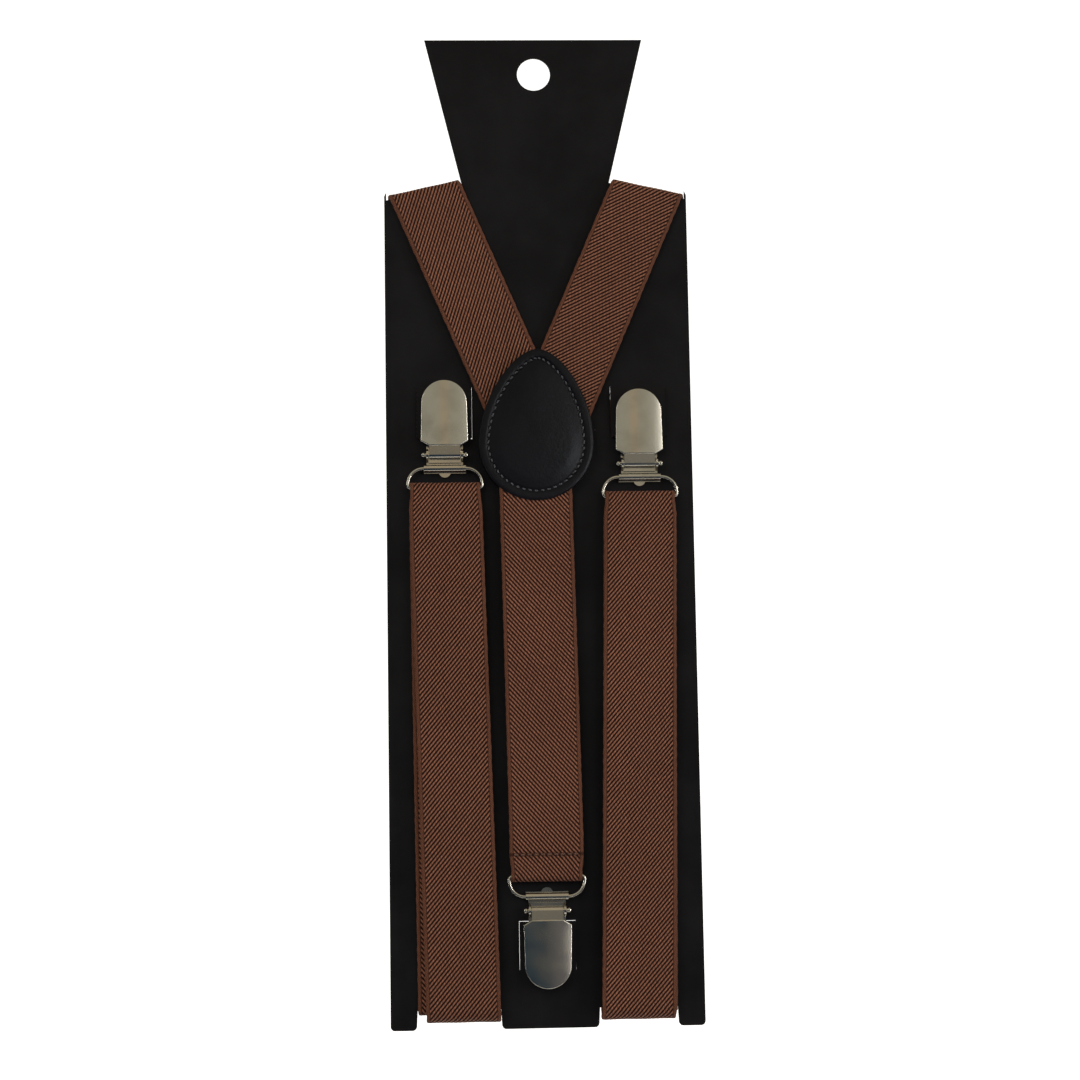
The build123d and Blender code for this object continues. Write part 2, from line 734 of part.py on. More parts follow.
CLIP_PIECES = {
    "back_jaw": make_back_jaw,
    "front_jaw": make_front_jaw,
    "lever": make_lever,
    "pivot_pin": make_pin,
    "wire_loop": make_wire_loop,
}

for name, x, tip, way, _, _ in CLIPS:
    for piece, make in CLIP_PIECES.items():
        save(make(x, tip, way), f"{name}_clip_{piece}")
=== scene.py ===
from math import ceil, cos, floor, pi, radians, sin, tan

import bpy
import numpy as np
from mathutils import Matrix, Vector


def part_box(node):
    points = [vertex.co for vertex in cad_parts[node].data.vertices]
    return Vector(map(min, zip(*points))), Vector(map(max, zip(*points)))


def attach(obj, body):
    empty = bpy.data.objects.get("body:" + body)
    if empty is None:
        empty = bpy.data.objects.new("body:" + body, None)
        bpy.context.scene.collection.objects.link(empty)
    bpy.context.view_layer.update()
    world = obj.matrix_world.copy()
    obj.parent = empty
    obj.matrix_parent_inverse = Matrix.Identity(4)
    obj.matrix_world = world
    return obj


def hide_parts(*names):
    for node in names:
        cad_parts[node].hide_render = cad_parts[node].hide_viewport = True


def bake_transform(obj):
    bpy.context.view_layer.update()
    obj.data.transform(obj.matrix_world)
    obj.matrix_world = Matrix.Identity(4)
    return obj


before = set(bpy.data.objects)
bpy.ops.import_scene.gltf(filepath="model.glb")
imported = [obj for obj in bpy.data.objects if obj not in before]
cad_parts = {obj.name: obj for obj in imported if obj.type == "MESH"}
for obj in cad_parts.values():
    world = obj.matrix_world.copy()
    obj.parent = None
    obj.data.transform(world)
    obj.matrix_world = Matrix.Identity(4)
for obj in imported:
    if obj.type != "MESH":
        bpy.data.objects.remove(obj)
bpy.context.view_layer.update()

# Suspenders on their display card. Lengths here are millimetres in the CAD frame, turned into
# metres as each mesh is made. A "layer" is a distance in front of the card, towards -Y.
MM = 0.001

# Webbing
WEB_HALF = 12.5
WEB_THICK = 1.2
SELVEDGE_IN = 11.15  # where the twill ends and the plain selvedge starts
EDGE_ROUND = 0.55
RIB_PITCH = 1.09
RIB_HEIGHT = 0.22
ROWS_PER_RIB = 6
FRONT_TWILL = (-1, radians(41))  # which way the ribs lean, and their angle to the strap
BACK_TWILL = (1, radians(42))

INNER_LAYER = 1.2
OUTER_LAYER = 3.7
DIAGONAL_LAYER = 1.9
WIRE_TURN = 1.25  # radius of the webbing's middle round the wire
FOLD_Z = -324.0
SHOULDER_Z = -43.2
ADJUSTER_Z = -205.0
JOINT_END_Z = -141.0
GATHER = (1.5, 7.5)  # the webbing narrows between these distances from a wire
GATHERED = 0.96  # its width at the wire, as a share of its full width
SELVEDGE_STEPS = (0.35, 0.6)  # extra columns just outside the twill
RIB_UNEVEN = 0.2  # how much a rib's height varies from one to the next
RIB_MIDDLE = 0.75  # the share of a rib's height that lies below the webbing's mean face
WANDER = (0.05, 0.04)  # how far the edges stray, in two waves
WANDER_RATE = (1.9, 0.71)


def millimetres(node):
    """A CAD node's lowest and highest corner in millimetres."""
    low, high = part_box(node)
    return np.array(low) * 1000, np.array(high) * 1000


def middle(node, axis):
    """The middle of a CAD node along one axis."""
    low, high = millimetres(node)
    return (low[axis] + high[axis]) / 2


# ---------------------------------------------------------------- meshes
def mesh_object(name, points, faces, uv=None, flat=()):
    """An object from points in millimetres, with smooth faces but for those listed as flat."""
    mesh = bpy.data.meshes.new(name)
    mesh.from_pydata((np.asarray(points) * MM).tolist(), [], faces)
    smooth = np.ones(len(mesh.polygons), bool)
    smooth[list(flat)] = False
    mesh.polygons.foreach_set("use_smooth", smooth)
    if uv is not None:
        layer = mesh.uv_layers.new(name="weave")
        corners = np.empty(len(mesh.loops), int)
        mesh.loops.foreach_get("vertex_index", corners)
        layer.data.foreach_set("uv", (np.asarray(uv)[corners] * MM).ravel())
    mesh.update()
    thing = bpy.data.objects.new(name, mesh)
    bpy.context.scene.collection.objects.link(thing)
    return thing


def smoothstep(low, high, x):
    """0 below low, 1 above high, and an even turn between."""
    share = np.clip((x - low) / (high - low), 0, 1)
    return share * share * (3 - 2 * share)


class Route:
    """A strap's centreline: (x, layer, z) corners with rounded bends, measured by arc length."""

    def __init__(self, corners):
        points = [np.array(corners[0][:3], float)]
        for i in range(1, len(corners) - 1):
            corner, radius = np.array(corners[i][:3], float), corners[i][3]
            back = np.array(corners[i - 1][:3], float) - corner
            ahead = np.array(corners[i + 1][:3], float) - corner
            back, ahead = back / np.linalg.norm(back), ahead / np.linalg.norm(ahead)
            half = np.arccos(np.clip(back @ ahead, -1, 1)) / 2
            middle_way = (back + ahead) / np.linalg.norm(back + ahead)
            centre = corner + middle_way * radius / sin(half)
            begin = corner + back * radius / tan(half)
            across, along = begin - centre, -back * radius
            turn = pi - 2 * half
            for angle in np.linspace(0, turn, max(3, ceil(turn / radians(4)))):
                points.append(centre + across * cos(angle) + along * sin(angle))
        points.append(np.array(corners[-1][:3], float))
        points = np.array(points)
        keep = np.r_[True, np.linalg.norm(np.diff(points, axis=0), axis=1) > 1e-4]
        points = points[keep]
        self.at = np.r_[0, np.cumsum(np.linalg.norm(np.diff(points, axis=0), axis=1))]
        self.points = points
        direction = np.gradient(points, self.at, axis=0)
        self.direction = direction / np.linalg.norm(direction, axis=1, keepdims=True)
        self.length = self.at[-1]

    def where(self, v):
        """Points and directions at distances v along the route."""
        point = np.stack([np.interp(v, self.at, self.points[:, i]) for i in range(3)], -1)
        way = np.stack([np.interp(v, self.at, self.direction[:, i]) for i in range(3)], -1)
        return point, way / np.linalg.norm(way, axis=-1, keepdims=True)

    def find(self, layer, z, after=0.0):
        """The distance along the route that comes nearest to this layer and height."""
        v = np.linspace(after, self.length, 8000)
        point, _ = self.where(v)
        return float(v[np.argmin(np.hypot(point[:, 1] - layer, point[:, 2] - z))])


def to_frame(x, layer, z):
    """Points in the CAD frame from their x, layer and height."""
    return np.stack(np.broadcast_arrays(x, -layer, z), -1)


def along_route(route, bar_z):
    """Places webbing along a route, gathered a little where it turns round the wire at bar_z."""

    def place(u, v):
        point, way = route.where(v)
        gather = 1 - (1 - GATHERED) * (1 - smoothstep(*GATHER, np.abs(point[..., 2] - bar_z)))
        face = np.stack([0 * way[..., 0], -way[..., 2], way[..., 1]], -1)
        face /= np.linalg.norm(face, axis=-1, keepdims=True)
        at = to_frame(point[..., 0] + u * gather, point[..., 1], point[..., 2])
        return at, to_frame(face[..., 0], face[..., 1], face[..., 2])

    return place


def ribs(u, v, twill):
    """How far through its rib each point of the webbing is: whole numbers are rib tops."""
    lean, angle = twill
    reach = np.minimum(np.abs(u), 2 * SELVEDGE_IN - np.abs(u))
    return (v - lean * np.sign(u) * reach / tan(angle)) * sin(angle) / RIB_PITCH


def column_places():
    """Where the webbing's columns run, from one edge to the other."""
    edge = WEB_HALF - EDGE_ROUND * (1 - np.sin(np.linspace(0, pi / 2, 5)))
    half = np.r_[np.linspace(0, SELVEDGE_IN, 15), SELVEDGE_IN + np.array(SELVEDGE_STEPS), edge[1:]]
    return np.r_[-half[:0:-1], half]


COLUMNS = column_places()


def webbing(name, place, begin, end, twill, detail=1.0, trim=None):
    """A closed run of ribbed webbing from begin to end, its rows laid along its ribs."""
    lean, angle = twill
    count = len(COLUMNS)
    u = np.r_[COLUMNS, COLUMNS[-2:0:-1]]
    side = np.r_[np.ones(count), -np.ones(count - 2)]
    side[[0, count - 1]] = 0
    reach = np.minimum(np.abs(u), 2 * SELVEDGE_IN - np.abs(u))
    slant = lean * np.sign(u) * reach / tan(angle)
    step = RIB_PITCH / sin(angle) / ROWS_PER_RIB * detail
    first = floor((begin - slant.max()) / step) - 1
    last = ceil((end - slant.min()) / step) + 1
    rows = np.arange(first, last + 1)
    v = np.clip(rows[:, None] * step + slant, begin, end)
    low = np.array([np.flatnonzero(v[:, c] <= begin)[-1] for c in range(len(u))])
    high = np.array([np.flatnonzero(v[:, c] >= end)[0] for c in range(len(u))])
    row = np.arange(len(rows))[:, None]
    used = (row >= low) & (row <= high)
    number = np.cumsum(used.T.ravel()).reshape(used.T.shape).T - 1
    number = number[np.clip(row, low, high), np.arange(len(u))]

    across = np.broadcast_to(u, v.shape).copy()
    if trim is not None:
        across = trim(across, v)
    wander = WANDER[0] * np.sin(v * WANDER_RATE[0] + np.sign(u) * 2)
    wander = wander + WANDER[1] * np.sin(v * WANDER_RATE[1] + np.sign(u) * 5)
    across = across * (1 + wander / WEB_HALF * smoothstep(10, WEB_HALF, np.abs(u)))
    at, face = place(across, v)
    past = np.clip((np.abs(u) - (WEB_HALF - EDGE_ROUND)) / EDGE_ROUND, 0, 1)
    half_thick = WEB_THICK / 2 * np.sqrt(1 - past**2)
    phase = ribs(u, v, twill)
    uneven = 1 - RIB_UNEVEN + RIB_UNEVEN * np.sin(np.floor(phase + 0.5) * 12.9898 + u * 0.21)
    strength = (1 - 0.55 * smoothstep(SELVEDGE_IN - 0.2, SELVEDGE_IN + 0.4, np.abs(u))) * (1 - past)
    rib = np.abs(np.cos(pi * phase)) ** 0.7 * uneven
    rise = (rib - RIB_MIDDLE) * RIB_HEIGHT * strength
    points = at + face * ((half_thick + rise) * side)[..., None]

    keep = used.T.ravel()
    points = points.transpose(1, 0, 2).reshape(-1, 3)[keep]
    uv = np.stack([np.broadcast_to(u, v.shape), v], -1).transpose(1, 0, 2).reshape(-1, 2)[keep]
    here, beyond = number, np.roll(number, -1, axis=1)
    quads = np.stack([here[:-1], beyond[:-1], beyond[1:], here[1:]], -1).reshape(-1, 4)
    flat_left = quads[:, 0] == quads[:, 3]
    flat_right = quads[:, 1] == quads[:, 2]
    whole = quads[~flat_left & ~flat_right]
    probe = whole[len(whole) // 2]
    turned = np.cross(points[probe[1]] - points[probe[0]], points[probe[3]] - points[probe[0]])
    core = at.transpose(1, 0, 2).reshape(-1, 3)[keep]
    inside_out = turned @ (points[probe[0]] - core[probe[0]]) < 0
    faces = whole.tolist()
    faces += quads[flat_left & ~flat_right][:, [0, 1, 2]].tolist()
    faces += quads[flat_right & ~flat_left][:, [0, 1, 3]].tolist()
    walls = len(faces)
    under = [0] + list(range(len(u) - 1, count - 1, -1)) + [count - 1]
    for ring, way in ((number[0], 1), (number[-1], -1)):
        for i in range(count - 1):
            corners = [ring[i], ring[under[i]], ring[under[i + 1]], ring[i + 1]]
            corners = list(dict.fromkeys(int(c) for c in corners))
            faces.append(corners if way > 0 else corners[::-1])
    if inside_out:
        faces = [f[::-1] for f in faces]
    made = mesh_object(name, points, faces, uv, range(walls, len(faces)))
    ends = np.zeros(len(points), bool)
    ends[number[[0, -1]]] = True
    pairs = np.empty(2 * len(made.data.edges), int)
    made.data.edges.foreach_get("vertices", pairs)
    made.data.edges.foreach_set("use_edge_sharp", ends[pairs.reshape(-1, 2)].all(axis=1))
    return made


# ---------------------------------------------------------------- node materials
def srgb(red, green, blue):
    """A linear colour from 8-bit sRGB values."""
    parts = np.array([red, green, blue]) / 255
    linear = np.where(parts <= 0.04045, parts / 12.92, ((parts + 0.055) / 1.055) ** 2.4)
    return (*linear.tolist(), 1)


class Nodes:
    """A material's node tree, with short ways to add to it."""

    def __init__(self, name, **values):
        self.material = bpy.data.materials.new(name)
        self.material.use_nodes = True
        self.tree = self.material.node_tree
        self.shader = self.tree.nodes["Principled BSDF"]
        for socket, value in values.items():
            self.shader.inputs[socket.replace("_", " ")].default_value = value

    def add(self, kind, **settings):
        """A new node with these settings."""
        node = self.tree.nodes.new(kind)
        for key, value in settings.items():
            setattr(node, key, value)
        return node

    def put(self, value, socket):
        """Links a socket, or sets a plain value."""
        if isinstance(value, bpy.types.NodeSocket):
            self.tree.links.new(value, socket)
        else:
            socket.default_value = value

    def math(self, operation, *values, clamp=False):
        """A math node's result."""
        node = self.add("ShaderNodeMath", operation=operation, use_clamp=clamp)
        for value, socket in zip(values, node.inputs):
            self.put(value, socket)
        return node.outputs[0]

    def remap(self, value, low, high, to_low=0.0, to_high=1.0):
        """A smooth change from to_low to to_high as value goes from low to high."""
        node = self.add("ShaderNodeMapRange", interpolation_type="SMOOTHSTEP")
        for item, socket in zip((value, low, high, to_low, to_high), node.inputs):
            self.put(item, socket)
        return node.outputs[0]

    def mix(self, share, first, second, blend="MIX"):
        """Two colours mixed."""
        node = self.add("ShaderNodeMix", data_type="RGBA", blend_type=blend)
        self.put(share, node.inputs[0])
        self.put(first, node.inputs[6])
        self.put(second, node.inputs[7])
        return node.outputs[2]

    def noise(self, vector, scale, detail=2.0, roughness=0.5):
        """Fractal noise, from 0 to 1."""
        node = self.add("ShaderNodeTexNoise")
        self.put(vector, node.inputs["Vector"])
        node.inputs["Scale"].default_value = scale
        node.inputs["Detail"].default_value = detail
        node.inputs["Roughness"].default_value = roughness
        return node.outputs[0]

    def place(self):
        """The object's own coordinates, in metres."""
        return self.add("ShaderNodeTexCoord").outputs["Object"]

    def bump(self, height, strength, distance, normal=None):
        """A bumped normal."""
        node = self.add("ShaderNodeBump")
        node.inputs["Strength"].default_value = strength
        node.inputs["Distance"].default_value = distance
        self.put(height, node.inputs["Height"])
        if normal is not None:
            self.put(normal, node.inputs["Normal"])
        return node.outputs[0]

    def set(self, **values):
        """Feeds the shader's sockets."""
        for socket, value in values.items():
            self.put(value, self.shader.inputs[socket.replace("_", " ")])
        return self.material


def webbing_material(name, twill, hem_z=None):
    """Elastic twill webbing: light ribs over dark grooves, plain selvedges, a sewn line at hem_z. Its
    colour holds painted shade in the grooves and along the sewn line, and painted highlights on the rib
    tops and threads.
    """
    lean, angle = twill
    web = Nodes(name, Roughness=0.82, Sheen_Weight=0.04, Sheen_Roughness=0.45)
    web.shader.inputs["Specular IOR Level"].default_value = 0.25
    split = web.add("ShaderNodeSeparateXYZ")
    web.put(web.add("ShaderNodeUVMap", uv_map="weave").outputs[0], split.inputs[0])
    u, v = split.outputs[0], split.outputs[1]
    from_middle = web.math("ABSOLUTE", u)
    side = web.math("SIGN", u)
    inner = web.math("SUBTRACT", 2 * SELVEDGE_IN * MM, from_middle)
    reach = web.math("MINIMUM", from_middle, inner)
    slant = web.math("MULTIPLY", web.math("MULTIPLY", side, reach), lean / tan(angle))
    frequency = sin(angle) / (RIB_PITCH * MM)
    phase = web.math("MULTIPLY", web.math("SUBTRACT", v, slant), frequency)
    wobble = web.math("SUBTRACT", web.noise(web.place(), 900.0), 0.5)
    loose = web.math("ADD", phase, web.math("MULTIPLY", wobble, 0.16))
    rib = web.math("ABSOLUTE", web.math("COSINE", web.math("MULTIPLY", loose, pi)))
    rib = web.remap(rib, 0.52, 0.96)
    number = web.math("FLOOR", web.math("ADD", phase, 0.5))
    thread_at = web.math("ADD", web.math("DIVIDE", u, 0.00086), web.math("MULTIPLY", number, 0.43))
    thread = web.math("ABSOLUTE", web.math("SINE", web.math("MULTIPLY", thread_at, pi)))
    # Painted shade and highlight: the grooves are painted near black where shade falls, and the rib
    # tops light, their brown with a painted highlight.
    colour = web.mix(rib, srgb(21, 6, 2), srgb(147, 96, 75))
    picked = web.remap(web.noise(web.place(), 2600.0, 1.0), 0.3, 0.75, 0.72, 1.28)
    # Painted highlight and shade on each thread's crown and sides, times a random tone from thread to
    # thread.
    tone_and_thread_highlight = web.math("MULTIPLY", picked, web.remap(thread, 0.05, 0.8, 0.55, 1.16))
    tone_and_highlight_grey = web.add("ShaderNodeCombineColor")
    for socket in tone_and_highlight_grey.inputs:
        web.put(tone_and_thread_highlight, socket)
    colour = web.mix(1.0, colour, tone_and_highlight_grey.outputs[0], "MULTIPLY")
    edge_thread = web.math("ABSOLUTE", web.math("COSINE", web.math("MULTIPLY", loose, pi * 2)))
    edge_colour = web.mix(web.remap(edge_thread, 0.0, 0.8), srgb(70, 37, 25), srgb(110, 69, 51))
    from_seam = web.math("ABSOLUTE", web.math("SUBTRACT", from_middle, (SELVEDGE_IN + 0.1) * MM))
    seam = web.remap(from_seam, 0.00008, 0.00026, 0.8, 0.0)
    edge_colour = web.mix(seam, edge_colour, srgb(36, 14, 8))
    edge_colour = web.mix(0.5, edge_colour, web.mix(1.0, edge_colour, tone_and_highlight_grey.outputs[0], "MULTIPLY"))
    selvedge = web.remap(from_middle, (SELVEDGE_IN - 0.15) * MM, (SELVEDGE_IN + 0.2) * MM)
    colour = web.mix(selvedge, colour, edge_colour)
    wear = web.remap(web.noise(web.place(), 22.0, 3.0), 0.35, 0.7, 0.94, 1.05)
    tone = web.add("ShaderNodeCombineColor")
    for socket in tone.inputs:
        web.put(wear, socket)
    colour = web.mix(1.0, colour, tone.outputs[0], "MULTIPLY")
    if hem_z is not None:
        # Painted shade: a dark band along the sewn hem line, where the webbing dips into the seam.
        split = web.add("ShaderNodeSeparateXYZ")
        web.put(web.place(), split.inputs[0])
        off_hem = web.math("ABSOLUTE", web.math("SUBTRACT", split.outputs[2], hem_z * MM))
        painted_hem_shade = web.remap(off_hem, 0.0002, 0.0009, 0.75, 0.0)
        colour = web.mix(painted_hem_shade, colour, srgb(34, 13, 7))
    height = web.math("ADD", web.math("MULTIPLY", thread, 0.5), web.noise(web.place(), 5000.0, 2.0))
    return web.set(Base_Color=colour, Normal=web.bump(height, 0.5, 0.00012))


def card_material():
    """Black coated board, slightly satin, with faint handling marks and dust."""
    board = Nodes("card_board", IOR=1.45)
    place = board.place()
    mottle = board.noise(place, 35.0, 4.0, 0.6)
    fibre = board.noise(place, 1400.0, 3.0, 0.6)
    colour = board.mix(board.remap(mottle, 0.35, 0.7), srgb(20, 19, 21), srgb(27, 26, 28))
    specks = board.add("ShaderNodeTexVoronoi", feature="F1")
    board.put(place, specks.inputs["Vector"])
    specks.inputs["Scale"].default_value = 160.0
    rare = board.remap(board.noise(place, 70.0, 1.0), 0.62, 0.72)
    dust = board.remap(specks.outputs["Distance"], 0.028, 0.06, 1.0, 0.0)
    colour = board.mix(board.math("MULTIPLY", dust, rare), colour, srgb(78, 74, 74))
    rough = board.remap(mottle, 0.3, 0.75, 0.42, 0.56)
    swell = board.bump(board.noise(place, 12.0, 2.0), 0.35, 0.004)
    normal = board.bump(fibre, 0.25, 0.00006, swell)
    board.shader.inputs["Specular IOR Level"].default_value = 0.12
    return board.set(Base_Color=colour, Roughness=rough, Normal=normal)


def leather_material():
    """Black smooth-grain leather with a soft polish."""
    hide = Nodes("black_leather", IOR=1.5, Coat_Weight=0.05, Coat_Roughness=0.22)
    place = hide.place()
    cells = hide.add("ShaderNodeTexVoronoi", feature="SMOOTH_F1")
    hide.put(place, cells.inputs["Vector"])
    cells.inputs["Scale"].default_value = 1500.0
    grain = hide.math("ADD", cells.outputs["Distance"], hide.noise(place, 600.0, 4.0, 0.6))
    mottle = hide.noise(place, 60.0, 3.0)
    colour = hide.mix(hide.remap(mottle, 0.3, 0.7), srgb(10, 10, 14), srgb(14, 14, 19))
    rough = hide.remap(mottle, 0.3, 0.75, 0.34, 0.46)
    creases = hide.bump(hide.noise(place, 140.0, 3.0), 0.25, 0.0006)
    normal = hide.bump(grain, 0.35, 0.00012, creases)
    hide.shader.inputs["Specular IOR Level"].default_value = 0.14
    return hide.set(Base_Color=colour, Roughness=rough, Normal=normal)


def thread_material(name, dark, twist_highlight):
    """Twisted sewing thread, its twist bands mixed from the dark colour and a lighter painted
    highlight.
    """
    thread = Nodes(name, Roughness=0.5, Sheen_Weight=0.3)
    place = thread.place()
    wave = thread.add("ShaderNodeTexWave", wave_type="BANDS", bands_direction="DIAGONAL")
    thread.put(place, wave.inputs["Vector"])
    wave.inputs["Scale"].default_value = 900.0
    wave.inputs["Distortion"].default_value = 2.0
    # Painted highlight: the lighter band colour stands in for light on each twist.
    colour = thread.mix(wave.outputs["Fac"], dark, twist_highlight)
    return thread.set(Base_Color=colour, Normal=thread.bump(wave.outputs["Fac"], 0.5, 0.00008))


def metal_material(name, colour, tarnish, rough):
    """Plated metal with faint polishing marks and a little dulling."""
    plate = Nodes(name, Metallic=1.0)
    place = plate.place()
    stretch = plate.add("ShaderNodeMapping")
    plate.put(place, stretch.inputs["Vector"])
    stretch.inputs["Scale"].default_value = (6.0, 1.0, 0.4)
    marks = plate.noise(stretch.outputs[0], 700.0, 3.0, 0.6)
    patches = plate.noise(place, 130.0, 3.0)
    base = plate.mix(plate.remap(patches, 0.42, 0.72), colour, tarnish)
    roughness = plate.remap(patches, 0.3, 0.8, rough, rough + 0.1)
    normal = plate.bump(marks, 0.04, 0.00003)
    return plate.set(Base_Color=base, Roughness=roughness, Normal=normal)


FRONT_WEB = webbing_material("webbing_front", FRONT_TWILL)
BACK_WEB = webbing_material("webbing_back", BACK_TWILL, middle("back_strap_stitching", 2))
BOARD = card_material()
LEATHER = leather_material()
BLACK_THREAD = thread_material("black_thread", srgb(24, 25, 30), srgb(92, 94, 104))
BROWN_THREAD = thread_material("brown_thread", srgb(58, 32, 20), srgb(122, 78, 56))
NICKEL = metal_material("nickel_plate", srgb(213, 209, 200), srgb(203, 198, 187), 0.17)
STEEL = metal_material("adjuster_plate", srgb(204, 200, 192), srgb(190, 184, 174), 0.2)


def finish_webbing(made, node, material, length, held, bodies=None, ends=None, body=None):
    """Gives a run of webbing its material and place, and hides the CAD node it stands in for."""
    made.data.materials.append(material)
    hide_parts(node)
    if body is None:
        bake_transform(made)
    else:
        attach(made, body)


# ---------------------------------------------------------------- front straps
# side, name, x of the shoulder fold, x of the outer and the inner layer's bottom fold
FRONT_STRAPS = (
    (-1, "left", -38.8, -28.4, -31.2),
    (1, "right", 39.2, 30.4, 31.1),
)
JOINT = (-0.1, -134.0)
LOOP_RUN = 25.0  # how far below the wire each loop piece reaches
CARD_RUN_Z = -306.0  # below here the front runs stay with the card
BELOW_CARD_RUN = 12.0  # where the front and back pieces meet, below that height

# Depths behind the card of the webbing at an adjuster, and where it changes depth
RING_LAYER = 4.9
SEWN_LAYER = 2.42
OVER_LAYER = 6.2
BAR_TURN = 1.84
BAR_RISE = 1.85
PIECE_REACH = 20.0  # from an adjuster's bar to the pieces above and below it
FOLD_SLACK = 0.01  # keeps a bend's radius under half of the gap that it turns through


def shoulder_place(side, shoulder_x, slide_x):
    """Places the webbing that turns over the card's shoulder: t is 0 at the top of the fold."""
    lean_front = np.arctan2(side * (shoulder_x - JOINT[0]), SHOULDER_Z - JOINT[1])
    lean_back = np.arctan2(side * (shoulder_x - slide_x), SHOULDER_Z - ADJUSTER_Z)
    slope = (lean_front + lean_back) / 2
    skew = lean_front - slope
    along = np.array([side * cos(slope), -sin(slope)])
    upward = np.array([side * sin(slope), cos(slope)])
    turn = DIAGONAL_LAYER * pi / 2

    def place(u, t):
        outward = side * u
        a = -sin(skew) * t + cos(skew) * outward
        d = cos(skew) * t + sin(skew) * outward
        angle = np.clip(d / DIAGONAL_LAYER, -pi / 2, pi / 2)
        drop = np.maximum(np.abs(d) - turn, 0)
        rise = DIAGONAL_LAYER * np.cos(angle) - drop
        layer = DIAGONAL_LAYER * np.sin(angle)
        x = shoulder_x + a * along[0] + rise * upward[0]
        z = SHOULDER_Z + a * along[1] + rise * upward[1]
        face_up = np.cos(angle)
        face = to_frame(face_up * upward[0], np.sin(angle), face_up * upward[1])
        return to_frame(x, layer, z), face

    return place, lean_front, lean_back


